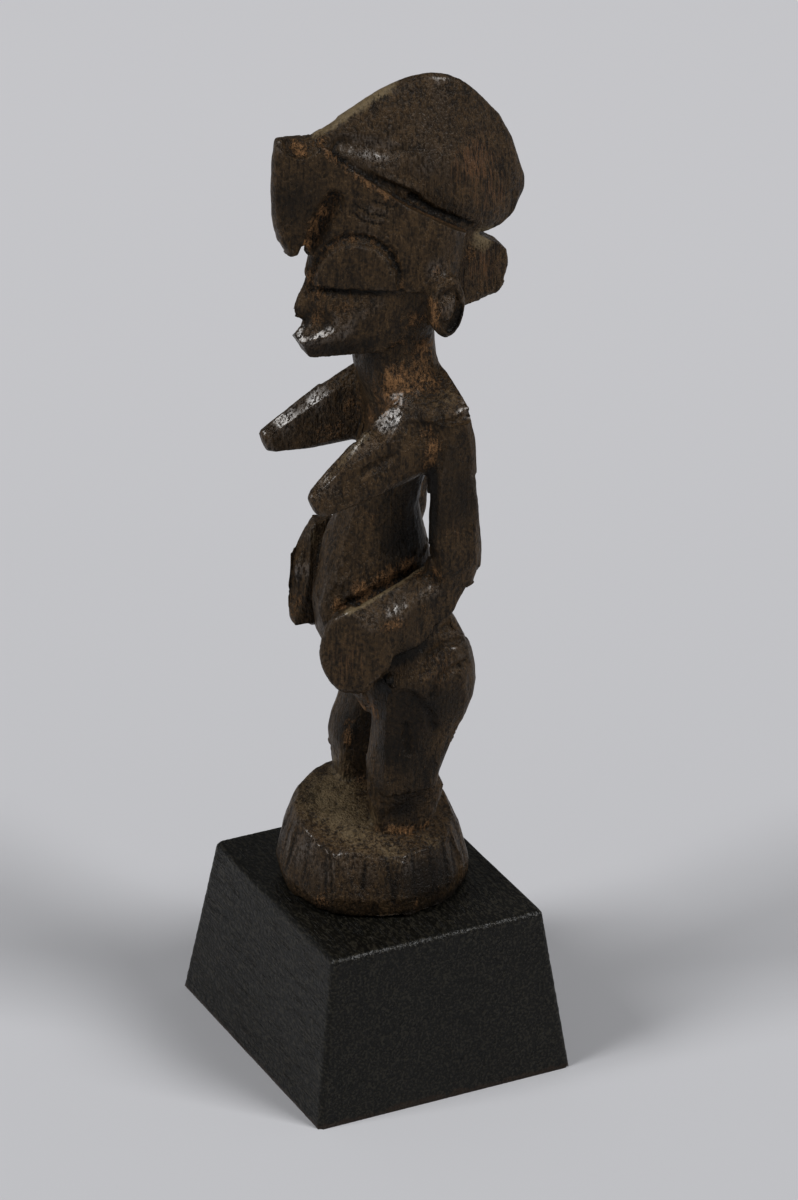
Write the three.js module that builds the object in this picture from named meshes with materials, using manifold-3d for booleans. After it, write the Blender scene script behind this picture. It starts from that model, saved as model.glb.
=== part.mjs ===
// A bush spirit figure: a standing female figure carved with its round base from one billet of dark
// wood, on a black wooden plinth. Millimetres, +Z up. The figure faces -Y and its left hand is at +X.
// Its own heights are counted from the underside of its round base.
import * as THREE from "three";
import { ConvexGeometry } from "three/addons/geometries/ConvexGeometry.js";
import { mergeVertices } from "three/addons/utils/BufferGeometryUtils.js";
import Module from "manifold-3d";

const wasm = await Module();
wasm.setup();

// Driving dimensions of the plinth, a truncated pyramid
const PLINTH = {
  width: 65, depth: 59, topWidth: 55.7, topDepth: 48.8, height: 36.5, corner: 1.2, bevel: 0.8,
};

// Where the figure stands on the plinth, and how far it is turned on it
const GAP = 0.3;
const STAND = { x: -0.8, y: -1.4, turn: THREE.MathUtils.degToRad(-5) };

// The round base that is carved with the figure: a cone with adzed flats. Its rows are height,
// radius, and where the middle lies. The top is domed and falls towards the figure's left
const BASE = {
  rows: [
    [0, 19.4, 0, 0.9],
    [4.5, 20.1, 0, 0.3],
    [12, 18.3, -0.2, 0.1],
    [18.5, 15.7, -0.4, -0.1],
    [26, 12, -0.4, -0.1],
  ],
  flats: 17,
  uneven: 0.22,
  crown: 19.3,
  fall: 0.21,
  dome: 0.01,
};

// Sections of the upright forms. Each row is height, front, back, half width, squareness, and the
// share by which the front is narrower than the back
const TRUNK = [
  [40, -3, 12, 8, 2.4, 0],
  [48, -8, 14, 11, 2.4, 0.1],
  [57, -11.8, 13.5, 12.2, 2.4, 0.25],
  [64.8, -14.6, 11.5, 11.6, 2.4, 0.38],
  [71.4, -13.2, 11.6, 10.8, 2.4, 0.35],
  [79, -11.2, 10.2, 10, 2.4, 0.3],
  [88, -7.8, 8.2, 8.8, 2.4, 0.2],
  [98, -3.6, 9.8, 10.2, 2.8, 0.1],
  [106, -2, 12.4, 12, 2.8, 0],
  [112, -3.2, 12.4, 12.4, 2.3, 0],
  [116, -4.8, 12, 10.4, 2.2, 0],
  [119, -5.6, 11.4, 8.6, 2.2, 0],
  [126, -5.6, 10.8, 8, 2.2, 0],
];
const THIGH = [
  [26, -3.9, 9.6, 5.2, 4, 0],
  [30, -4.4, 10.6, 5.5, 4, 0],
  [40, -3.6, 14.3, 6.6, 3.4, 0],
  [46.5, -4.4, 17.2, 7.6, 2.8, 0],
  [51.5, -6, 17.5, 8, 2.6, 0],
  [58.2, -6, 16, 7.2, 2.5, 0],
  [66, -3, 12, 5, 2.4, 0],
];
const CALF = [
  [10, -2.2, 8, 2.8, 4, 0],
  [15, -2.9, 8.6, 3.1, 4, 0],
  [21.5, -3.5, 11.2, 4.3, 4, 0],
  [25, -3.9, 11.8, 4.9, 4, 0],
  [28, -3.9, 10.4, 5.1, 4, 0],
];
const UPPER_ARM = [
  [73, 7.4, 15, 3, 3.4, 0],
  [78, 6.4, 16.2, 3.8, 3.6, 0],
  [92, 6.2, 15.1, 3.7, 3.6, 0],
  [104, 5.6, 14.2, 3.9, 3.4, 0],
  [110, 5, 13.6, 3.9, 3, 0],
];
const FORELOCK = [
  [143.9, -20.8, -18.4, 1.8, 3, 0],
  [147, -22.4, -17.2, 2.4, 3.4, 0],
  [151, -23.3, -15.4, 2.9, 3.4, 0.05],
  [156, -23.7, -11.4, 4.4, 3.4, 0.42],
  [160, -23.8, -4, 6.2, 3.6, 0.62],
  [165, -23.7, -3, 6, 3.6, 0.62],
  [169.5, -23.3, -5, 5, 3.6, 0.56],
  [172, -22.4, -8, 4, 3.2, 0.5],
];
const SKULL = [
  [136.6, -16.4, 14.6, 12, 3.2, 0.76],
  [145, -15.8, 16, 11.8, 3.2, 0.72],
  [150, -15.2, 16.6, 11.4, 3, 0.68],
  [158, -14.5, 16.6, 10.6, 3, 0.55],
  [166, -14.5, 15, 9.4, 2.8, 0.52],
  [172, -14, 10, 7, 2.6, 0.52],
];
const CHEEK = [
  [122.4, -12, 8, 7.8, 3, 0.6],
  [126, -13, 11, 9, 3, 0.64],
  [130.5, -14, 13, 10.4, 3.2, 0.7],
  [134.5, -15, 14, 11.2, 3.2, 0.74],
  [137.4, -15.6, 14.4, 10.4, 3.2, 0.78],
];

// How far the legs and arms stand to each side, and how the right leg differs from the left
const THIGH_MIDDLE = 9.4;
const CALF_MIDDLE = 8.6;
const ARM_MIDDLE = 14.3;
const RIGHT_LEG = { forward: 1.4, hollow: 2.6, hollowHeight: 38, hollowSpan: 5 };

// Corners of the cut-flat forms, each given for one side
const YOKE = [
  [8.4, -1.2, 114.4], [7.6, 11, 117.2], [12, 12, 114.8], [13, 2, 113.4], [15.4, 13, 112],
  [15.6, 4.6, 111.6], [16.9, 13.6, 109.8], [16.9, 5.2, 109.4], [16.6, 13.4, 107.4], [16.6, 5.4, 107.2],
  [9, -1, 102], [8, 10.6, 98],
];
const FOREARM = [
  [10.6, 8, 77], [17.4, 10, 78], [16.6, 15.2, 76.4], [12, 14.8, 73.4], [16.4, 10.2, 66.4], [12, 9, 66],
  [10.6, -11, 68.2], [15.8, -5.2, 64.6], [15.2, -4.4, 54.4], [11, -3.6, 54.4], [8, 2, 70],
];
const BUN = [
  [4.8, 10, 147], [4.4, 16, 145.4], [3.4, 25.6, 139.8], [3.6, 26, 136.4], [3.6, 24.8, 132],
  [3.8, 23.2, 130.4], [4.8, 16, 128.8], [4.8, 8, 127.6],
];
// The muzzle and jaw: lips, chin, and the ridge that runs back and up over the cheek
const JAW = [
  [2, -17.2, 128.4], [2.6, -18.6, 126.8], [2.8, -18.4, 125.4], [2.6, -16.2, 121.8], [2.4, -13, 121.6],
  [5.2, -14.4, 127.8], [7.8, -7, 132], [9.4, 0, 134.8], [8.4, -2.8, 123.4], [8.8, 4, 127],
  [2.8, -13.8, 136.2], [9.3, -0.8, 136.4],
];
const NOSE = [
  [0, -16.2, 139], [0, -19.2, 132], [0, -18.8, 130.2], [3.2, -15.8, 129.8], [2.6, -14.2, 137],
  [5.4, -11.4, 132], [0, -12, 129.6],
];

// The breasts: long cones with blunt ends, from the shoulder out to the tip
const BREAST = { tip: [13.2, -17, 96], tipSize: [3.1, 3.7], root: [10, 5.5, 106.6], rootSize: [6.6, 8.8] };
const RIGHT_BREAST_LIFT = 1.8;

// The hands: flat spades on the sides of the belly, the right one held higher and further back. Wood
// is left between the palm and the belly
const HAND = { length: 17, width: 14, thick: 3.8, round: 4, place: [9.8, -8.8, 66.8], lift: 0, back: 0 };
const RIGHT_HAND = {
  length: 22.5, width: 12, thick: 4.6, round: 0.8, place: [9.4, -9.2, 70], lift: 7.5, back: 1.6,
};
const PALM = { share: 0.86, depth: 5, back: 0.8 };

// The line, in side view, at which the hair starts and down to which the head is cut
const HAIRLINE = [
  [-26, 169.1], [-23, 169.1], [-20.6, 168.2], [-17, 167.6], [-13.4, 166.6], [-8.4, 162.2], [-3.2, 157.8],
  [4, 153], [14, 146.8], [20, 143],
];
// The crest. Each row is how far back, lowest, highest, half width, half width of its top, and the
// share of its width that is left at the bottom
const CREST = [
  [-15.4, 165, 168.4, 2, 1.9, 0.7],
  [-8.6, 158, 172.2, 4.6, 2.1, 0.7],
  [0.8, 151, 176.9, 7, 2, 0.74],
  [9.2, 146.6, 178.3, 7.7, 1.8, 0.84],
  [15.7, 144.2, 176.1, 7.3, 1.7, 0.92],
  [20.4, 143.5, 171.8, 6, 1.6, 0.94],
  [25.6, 145.2, 165.3, 3.9, 1.4, 0.94],
  [28.6, 148.2, 158, 2.2, 1.2, 0.94],
  [29.7, 151, 154.5, 1.1, 1, 0.94],
];
// An ear is a disc with a hollow, and a lobe in the hollow that leaves a crescent at its back
const EAR = {
  at: [10.2, 9, 133.2], half: [3.9, 6.7], thick: 3.9, turn: 0.16, hollow: [2.9, 5], sunk: 1.6, lobe: [2.3, 4],
  forward: 0.7, up: 0.8,
};
const EYE = { from: [2, -15.8], to: [10.6, -0.6], floor: 137, height: 10, proud: 1, thick: 3.6, bevel: 0.6 };

const SIDES = 20;

// One section: half an axis each way from its middle, with corners from round (2) to square
function section(middle, across, along, square, narrow = 0, from = 1) {
  return Array.from({ length: SIDES }, (_, i) => {
    const angle = (2 * Math.PI * i) / SIDES;
    const bend = (wave) => Math.sign(wave) * Math.abs(wave) ** (2 / square);
    const u = bend(Math.cos(angle));
    const v = bend(Math.sin(angle));
    const width = 1 - narrow * THREE.MathUtils.clamp((from - v) / (from + 1), 0, 1);
    return middle.clone().addScaledVector(across, u * width).addScaledVector(along, v);
  });
}

// A closed skin through equal sections, with flat ends and its faces pointing outwards
function loft(sections) {
  const sides = sections[0].length;
  const positions = sections.flat().flatMap((p) => p.toArray());
  const faces = [];
  for (let row = 0; row + 1 < sections.length; row++) {
    for (let i = 0; i < sides; i++) {
      const next = (i + 1) % sides;
      const [a, b] = [row * sides + i, row * sides + next];
      const [c, d] = [a + sides, b + sides];
      faces.push(a, b, d, a, d, c);
    }
  }
  const last = (sections.length - 1) * sides;
  for (let i = 1; i + 1 < sides; i++) {
    faces.push(0, i + 1, i);
    faces.push(last, last + i, last + i + 1);
  }
  const geometry = new THREE.BufferGeometry();
  geometry.setAttribute("position", new THREE.Float32BufferAttribute(positions, 3));
  geometry.setIndex(faces);
  return geometry;
}

// Rows of numbers run smoothly from one to the next, in a number of equal steps
function smooth(rows, steps) {
  const keys = rows.map((row) => row[0]);
  const curve = new THREE.CubicInterpolant(keys, rows.flat(), rows[0].length);
  const first = keys[0];
  const span = keys[keys.length - 1] - first;
  return Array.from({ length: steps + 1 }, (_, i) => Array.from(curve.evaluate(first + (span * i) / steps)));
}

// An upright form from its rows of height, front, back, half width, squareness and narrowing
function upright(rows, steps, middle = 0, from = 1) {
  const sections = smooth(rows, steps).map(([z, front, back, half, square, narrow]) => {
    const centre = new THREE.Vector3(middle, (front + back) / 2, z);
    const across = new THREE.Vector3(half, 0, 0);
    return section(centre, across, new THREE.Vector3(0, (back - front) / 2, 0), square, narrow, from);
  });
  return solid(loft(sections));
}

// Geometry to a solid and back
function solid(geometry) {
  const bare = geometry.clone();
  bare.deleteAttribute("normal");
  bare.deleteAttribute("uv");
  const merged = mergeVertices(bare, 1e-4);
  const vertProperties = merged.attributes.position.array;
  const triVerts = new Uint32Array(merged.index.array);
  return new wasm.Manifold(new wasm.Mesh({ numProp: 3, vertProperties, triVerts }));
}

function geometryOf(made) {
  const mesh = made.getMesh();
  const geometry = new THREE.BufferGeometry();
  geometry.setAttribute("position", new THREE.BufferAttribute(new Float32Array(mesh.vertProperties), 3));
  geometry.setIndex(new THREE.BufferAttribute(new Uint32Array(mesh.triVerts), 1));
  geometry.computeVertexNormals();
  return geometry;
}

// The convex solid round a few corners
const hull = (corners) => solid(new ConvexGeometry(corners.map((corner) => new THREE.Vector3(...corner))));
const bothSides = (corners) => corners.flatMap(([x, y, z]) => [[x, y, z], [-x, y, z]]);
const join = (parts) => parts.reduce((whole, part) => whole.add(part));

// A flat slab with a small bevel round it, its outline in the plane of x and y
function slab(shape, thick, bevel, curveSegments) {
  const depth = thick - 2 * bevel;
  return new THREE.ExtrudeGeometry(shape, {
    depth, bevelEnabled: true, bevelThickness: bevel, bevelSize: bevel, bevelOffset: -bevel, bevelSegments: 1,
    curveSegments,
  });
}

// The base: flats round a cone, tucked in at the bottom, with a domed top that falls to the left
function makeBase() {
  const step = (2 * Math.PI) / BASE.flats;
  const sections = BASE.rows.map(([z, radius, x, y]) =>
    Array.from({ length: BASE.flats }, (_, i) => {
      const angle = step * (i + BASE.uneven * Math.sin(2.4 * i));
      return new THREE.Vector3(x + radius * Math.cos(angle), y + radius * Math.sin(angle), z);
    }),
  );
  const rings = 6;
  const reach = 26;
  const dome = Array.from({ length: rings + 1 }, (_, k) =>
    Array.from({ length: SIDES }, (_, i) => {
      const radius = (reach * (rings - k)) / rings + 0.01;
      const angle = (2 * Math.PI * i) / SIDES;
      const [x, y] = [radius * Math.cos(angle), radius * Math.sin(angle)];
      return new THREE.Vector3(x, y, BASE.crown - BASE.fall * x - BASE.dome * radius ** 2);
    }),
  );
  const below = dome[0].map((p) => new THREE.Vector3(p.x, p.y, -5));
  return solid(loft(sections)).intersect(solid(loft([below, ...dome])));
}

// A leg: the thigh with its buttock, and the block of the calf and foot below the knee
function makeLeg(side, forward, hollow) {
  const thigh = THIGH.map(([z, front, ...others]) => {
    const share = Math.exp(-(((z - RIGHT_LEG.hollowHeight) / RIGHT_LEG.hollowSpan) ** 2));
    return [z, front + hollow * share, ...others];
  });
  const leg = upright(thigh, 12, side * THIGH_MIDDLE).add(upright(CALF, 6, side * CALF_MIDDLE));
  return leg.translate([0, -forward, 0]);
}

// A breast, from inside the chest to its blunt tip
function makeBreast(side, lift) {
  const from = new THREE.Vector3(side * BREAST.root[0], BREAST.root[1], BREAST.root[2]);
  const to = new THREE.Vector3(side * BREAST.tip[0], BREAST.tip[1], BREAST.tip[2] + lift);
  const along = to.clone().sub(from).normalize();
  const down = new THREE.Vector3(0, along.z, -along.y).normalize().negate();
  const blunt = 0.12;
  const sections = [0, 0.25, 0.5, 0.75, 0.9, 1, 1 + 0.6 * blunt, 1 + blunt].map((t) => {
    const end = Math.sqrt(1 - 0.7 * (Math.max(0, t - 1) / blunt) ** 2);
    const share = Math.min(t, 1) ** 1.3;
    const across = THREE.MathUtils.lerp(BREAST.rootSize[0], BREAST.tipSize[0], share) * end;
    const tall = THREE.MathUtils.lerp(BREAST.rootSize[1], BREAST.tipSize[1], share) * end;
    const middle = from.clone().lerp(to, t);
    return section(middle, new THREE.Vector3(-across, 0, 0), down.clone().multiplyScalar(tall), 2.4, 0.3);
  });
  return solid(loft(sections));
}

// The arm: the upper arm, and the forearm running forward to the hand
function makeArm(side, hand) {
  const raise = ([x, y, z]) => {
    const share = THREE.MathUtils.clamp((14 - y) / 20, 0, 1);
    return [side * x, y + hand.back * share, z + hand.lift * share];
  };
  return join([upright(UPPER_ARM, 8, side * ARM_MIDDLE), hull(FOREARM.map(raise)), makeHand(side, hand)]);
}

// The hand: a flat spade with a rounded end, set on the slanting side of the belly
function makeHand(side, { length, width, thick, round, place, lift, back }) {
  const half = width / 2;
  const shape = new THREE.Shape();
  shape.moveTo(side * (-half + 2.8), 0.2);
  shape.lineTo(side * (-half + 1), -2.6);
  shape.lineTo(side * -half, -length * 0.46);
  shape.quadraticCurveTo(side * (-half + 0.2), -length + round, side * -half * 0.4, -length + 0.6);
  shape.quadraticCurveTo(side * half * 0.85, -length - 1.2, side * (half - 0.2), -length + 6.5);
  shape.lineTo(side * half, -2);
  shape.lineTo(side * -half * 0.1, 2.4);
  const outward = new THREE.Vector3(0.865 * side, -0.5, 0.04).normalize();
  const level = new THREE.Vector3(0.5, 0.865 * side, 0);
  const upward = new THREE.Vector3().crossVectors(outward, level).normalize();
  const turn = new THREE.Matrix4().makeBasis(level, upward, outward);
  turn.setPosition(side * place[0], place[1] + back, place[2] + lift);
  const depth = PALM.depth + 1;
  const palm = new THREE.ExtrudeGeometry(shape, { depth, bevelEnabled: false, curveSegments: 4 });
  palm.scale(PALM.share, PALM.share, 1).translate(side * PALM.back, -PALM.back, -PALM.depth);
  return solid(slab(shape, thick, 0.8, 4).applyMatrix4(turn)).add(solid(palm.applyMatrix4(turn)));
}

// The comb-like crest, which runs back over the head and overhangs it
function makeCrest() {
  const sections = smooth(CREST, 16).map(([y, low, high, half, crown, bottom]) => {
    const middle = new THREE.Vector3(0, y, (low + high) / 2);
    const across = new THREE.Vector3(-half, 0, 0);
    const tall = new THREE.Vector3(0, 0, (high - low) / 2);
    const square = THREE.MathUtils.mapLinear(y, CREST[0][0], CREST[CREST.length - 1][0], 2.4, 4);
    return section(middle, across, tall, square).map((p) => {
      const up = (p.z - low) / (high - low);
      const waist = THREE.MathUtils.lerp(bottom, 1, Math.min(1, up / 0.3));
      p.x *= waist * THREE.MathUtils.lerp(1, crown / half, Math.max(0, (up - 0.35) / 0.65));
      return p;
    });
  });
  return solid(loft(sections));
}

// An ear: a thick disc with a crescent cut in it, standing off the side of the head
function makeEar(side) {
  const disc = (half, thick, bevel) => {
    const shape = new THREE.Shape();
    shape.absellipse(0, 0, half[0], half[1], 0, 2 * Math.PI);
    const turn = new THREE.Matrix4().makeRotationZ(side * (Math.PI / 2 + EAR.turn));
    turn.multiply(new THREE.Matrix4().makeRotationX(Math.PI / 2));
    turn.setPosition(side * EAR.at[0], EAR.at[1], EAR.at[2]);
    return solid(slab(shape, thick, bevel, 8).applyMatrix4(turn));
  };
  const hollow = disc(EAR.hollow, 2 * EAR.sunk, 0.3).translate([side * (EAR.thick - EAR.sunk), 0, 0]);
  const lobe = disc(EAR.lobe, EAR.thick - 0.2, 0.6).translate([0, -EAR.forward, EAR.up]);
  return disc(EAR.half, EAR.thick, 0.8).subtract(hollow).add(lobe);
}

// An eye: a half-moon lid with a flat lower edge, on the slanting side of the face
function makeEye(side) {
  const [x0, y0] = EYE.from;
  const [x1, y1] = EYE.to;
  const level = new THREE.Vector3(side * (x1 - x0), y1 - y0, 0);
  const half = level.length() / 2;
  level.normalize();
  const shape = new THREE.Shape();
  shape.moveTo(-half, 0);
  shape.lineTo(half, 0);
  shape.absellipse(0, 0, half, EYE.height, 0, Math.PI);
  const upward = new THREE.Vector3(0, 0, 1);
  const outward = new THREE.Vector3().crossVectors(level, upward);
  const turn = new THREE.Matrix4().makeBasis(level, upward, outward);
  const lift = side > 0 ? EYE.proud - EYE.thick + EYE.bevel : EYE.bevel - EYE.proud;
  const middle = new THREE.Vector3((side * (x0 + x1)) / 2, (y0 + y1) / 2, EYE.floor);
  turn.setPosition(middle.addScaledVector(outward, lift));
  return solid(slab(shape, EYE.thick, EYE.bevel, 10).applyMatrix4(turn));
}

// The head: skull and forelock cut down to the hairline, with the crest on top of them
function makeHead() {
  const high = 190;
  const above = new THREE.Shape();
  above.moveTo(HAIRLINE[0][0], high);
  above.lineTo(...HAIRLINE[0]);
  above.splineThru(HAIRLINE.slice(1).map(([y, z]) => new THREE.Vector2(y, z)));
  above.lineTo(HAIRLINE[HAIRLINE.length - 1][0], high);
  const cut = new THREE.ExtrudeGeometry(above, { depth: 40, bevelEnabled: false, curveSegments: 2 });
  cut.translate(0, 0, -20).rotateX(Math.PI / 2).rotateZ(Math.PI / 2);
  const core = upright(SKULL, 12, 0, 0.25).add(upright(FORELOCK, 10)).subtract(solid(cut));
  return join([
    core, upright(CHEEK, 8, 0, 0.25), makeCrest(), hull(bothSides(BUN)), hull(bothSides(NOSE)),
    hull(bothSides(JAW)), makeEar(1), makeEar(-1), makeEye(1), makeEye(-1),
  ]);
}

function makeFigure() {
  return join([
    makeBase(), makeLeg(1, 0, 0), makeLeg(-1, RIGHT_LEG.forward, RIGHT_LEG.hollow), upright(TRUNK, 22),
    hull(bothSides(YOKE)), makeBreast(1, 0), makeBreast(-1, RIGHT_BREAST_LIFT), makeArm(1, HAND),
    makeArm(-1, RIGHT_HAND), makeHead(),
  ]);
}

// The plinth: a loft of three rectangles with small rounded corners, and a bevel round its top
function makePlinth() {
  const { width, depth, topWidth, topDepth, height, corner, bevel } = PLINTH;
  const arcs = 3;
  const outline = (z, across, along) => {
    const points = [];
    for (let quarter = 0; quarter < 4; quarter++) {
      const cx = (quarter === 0 || quarter === 3 ? 1 : -1) * (across / 2 - corner);
      const cy = (quarter < 2 ? 1 : -1) * (along / 2 - corner);
      for (let k = 0; k <= arcs; k++) {
        const angle = (Math.PI / 2) * (quarter + k / arcs);
        points.push(new THREE.Vector3(cx + corner * Math.cos(angle), cy + corner * Math.sin(angle), z));
      }
    }
    return points;
  };
  const inset = 1.6 * bevel;
  return loft([
    outline(0, width, depth),
    outline(height - bevel, topWidth, topDepth),
    outline(height, topWidth - inset, topDepth - inset),
  ]);
}

// Materials
const darkWood = new THREE.MeshStandardMaterial({ color: 0x2e221a, roughness: 0.5, metalness: 0 });
const blackWood = new THREE.MeshStandardMaterial({ color: 0x0d0d0e, roughness: 0.45, metalness: 0 });

const part = new THREE.Group();

const plinth = new THREE.Mesh(makePlinth(), blackWood);
plinth.name = "plinth";
part.add(plinth);

const figure = new THREE.Mesh(geometryOf(makeFigure()), darkWood);
figure.name = "figure";
figure.position.set(STAND.x, STAND.y, PLINTH.height + GAP);
figure.rotation.z = STAND.turn;
part.add(figure);

export default part;
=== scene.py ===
# %% [markdown]
# # A carved bush spirit on its black stand
#
# The real object is a standing female figure, cut with its round base from one billet of dark
# wood, and a black wooden block that it stands on. The frame already holds both as plain solids
# at their real size. This lesson gives them the surface that a carver, many hands and a long time
# gave them. Everything is in metres, in the frame's own place, and MM is how many millimetres a
# metre has.

# %% Load the frame
import math

import bmesh
import bpy
import numpy as np
from mathutils import Matrix, Vector
from mathutils.kdtree import KDTree


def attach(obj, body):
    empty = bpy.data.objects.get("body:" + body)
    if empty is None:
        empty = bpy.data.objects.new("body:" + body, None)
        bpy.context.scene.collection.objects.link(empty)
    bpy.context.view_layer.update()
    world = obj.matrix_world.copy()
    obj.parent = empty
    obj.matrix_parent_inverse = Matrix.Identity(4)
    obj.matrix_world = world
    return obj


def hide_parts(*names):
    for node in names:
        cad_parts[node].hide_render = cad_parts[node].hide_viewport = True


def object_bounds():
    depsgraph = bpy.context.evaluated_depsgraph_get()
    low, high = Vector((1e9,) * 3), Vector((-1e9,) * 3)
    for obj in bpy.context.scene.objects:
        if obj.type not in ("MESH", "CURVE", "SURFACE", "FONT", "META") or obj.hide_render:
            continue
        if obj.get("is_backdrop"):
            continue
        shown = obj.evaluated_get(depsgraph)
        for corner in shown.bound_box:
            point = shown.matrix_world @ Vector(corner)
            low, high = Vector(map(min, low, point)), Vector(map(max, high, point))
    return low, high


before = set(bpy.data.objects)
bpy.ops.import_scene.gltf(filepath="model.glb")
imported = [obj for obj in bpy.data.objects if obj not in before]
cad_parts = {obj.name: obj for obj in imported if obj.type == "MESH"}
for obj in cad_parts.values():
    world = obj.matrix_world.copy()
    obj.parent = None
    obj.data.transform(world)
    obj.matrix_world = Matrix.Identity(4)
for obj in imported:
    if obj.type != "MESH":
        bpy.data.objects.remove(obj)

CAD_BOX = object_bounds()
MM = 1000
print("frame:", sorted(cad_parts))
print("its box in mm:", [[round(MM * v, 1) for v in corner] for corner in CAD_BOX])

# %% [markdown]
# ## Where we look from
#
# A small figure is photographed from some way off with a long lens, so that it keeps its
# proportions. The camera stands to the figure's front left and looks down on it. It could be
# dragged into place by eye. We write two angles round the point it aims at instead, because
# angles can be measured and repeated, and turn it a degree in its own view, as a camera held by
# hand is.

# %% Camera
VIEW_AZIMUTH = math.radians(62.22)
VIEW_ELEVATION = math.radians(26.97)
VIEW_ROLL = math.radians(1.29)
VIEW_DISTANCE = 1.2225
AIM = Vector((0.00145, 0.00276, 0.10097))
LENS, SENSOR = 180, 36

backwards = Vector((
    math.sin(VIEW_AZIMUTH) * math.cos(VIEW_ELEVATION),
    -math.cos(VIEW_AZIMUTH) * math.cos(VIEW_ELEVATION),
    math.sin(VIEW_ELEVATION),
))
level = Vector((math.cos(VIEW_AZIMUTH), math.sin(VIEW_AZIMUTH), 0))
upwards = backwards.cross(level)
right = level * math.cos(VIEW_ROLL) + upwards * math.sin(VIEW_ROLL)
upwards = upwards * math.cos(VIEW_ROLL) - level * math.sin(VIEW_ROLL)

camera = bpy.data.objects.new("camera", bpy.data.cameras.new("camera"))
camera.data.lens = LENS
camera.data.sensor_width = SENSOR
camera.matrix_world = Matrix.Translation(AIM + backwards * VIEW_DISTANCE) @ Matrix((
    right, upwards, backwards)).transposed().to_4x4()
bpy.context.scene.collection.objects.link(camera)
bpy.context.scene.camera = camera
print("camera at", [round(v, 3) for v in camera.matrix_world.translation])

# %% [markdown]
# ## Carving with numbers
#
# The figure could be sculpted by hand with brushes. We carve it by rules, so that it comes out
# the same each time and every cut can be measured. The solid is a faceted model, so its first
# need is an even skin of small faces, which a voxel remesh gives. Then each tool of the carver
# becomes a rule that moves points: a knife that takes a flat slice, a point that scores a line, a
# hand that rubs edges round. The rules work in millimetres in the figure's own place, as a carver
# would measure.

# %% Where the figure stands
STAND = np.array((-0.8, -1.4, 36.8))
TURN = math.radians(-5)
COS, SIN = math.cos(TURN), math.sin(TURN)


def own(points):
    """From the frame's metres to the figure's own millimetres"""
    x, y, z = (MM * points - STAND).T
    return np.stack((COS * x + SIN * y, COS * y - SIN * x, z), axis=1)


def framed(points):
    """Back to the frame's metres"""
    x, y, z = points.T
    return (np.stack((COS * x - SIN * y, SIN * x + COS * y, z), axis=1) + STAND) / MM


print("the figure stands at", STAND, "mm, turned", round(math.degrees(TURN)), "degrees")

# %% A skin of small faces
SAME_POINT = 1e-6


def merged_copy(node, name):
    """A copy of a solid's mesh, its loose triangles joined and its plain material taken off"""
    mesh = bpy.data.objects[node].data.copy()
    mesh.name = name
    mesh.materials.clear()
    shell = bmesh.new()
    shell.from_mesh(mesh)
    bmesh.ops.remove_doubles(shell, verts=shell.verts, dist=SAME_POINT)
    shell.to_mesh(mesh)
    shell.free()
    return mesh


def applied(piece):
    """The mesh of a piece with its modifiers applied, and the modifiers taken off"""
    graph = bpy.context.evaluated_depsgraph_get()
    mesh = bpy.data.meshes.new_from_object(piece.evaluated_get(graph))
    piece.modifiers.clear()
    piece.data = mesh
    return mesh


def remeshed(node, name, voxel, added=()):
    """An even skin over a solid, fused with the hull of each set of points that is added to it"""
    whole = merged_copy(node, name)
    shell = bmesh.new()
    shell.from_mesh(whole)
    for corners in added:
        lump = [shell.verts.new(place) for place in framed(np.array(corners, dtype=float))]
        bmesh.ops.convex_hull(shell, input=lump)
    shell.to_mesh(whole)
    shell.free()
    piece = bpy.data.objects.new(name, whole)
    bpy.context.scene.collection.objects.link(piece)
    remesh = piece.modifiers.new("skin", "REMESH")
    remesh.mode = "VOXEL"
    remesh.voxel_size = voxel / MM
    print(name, "skin:", len(applied(piece).vertices), "points")
    return piece


# %% The skin as arrays
NO_LENGTH = 1e-12


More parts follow.
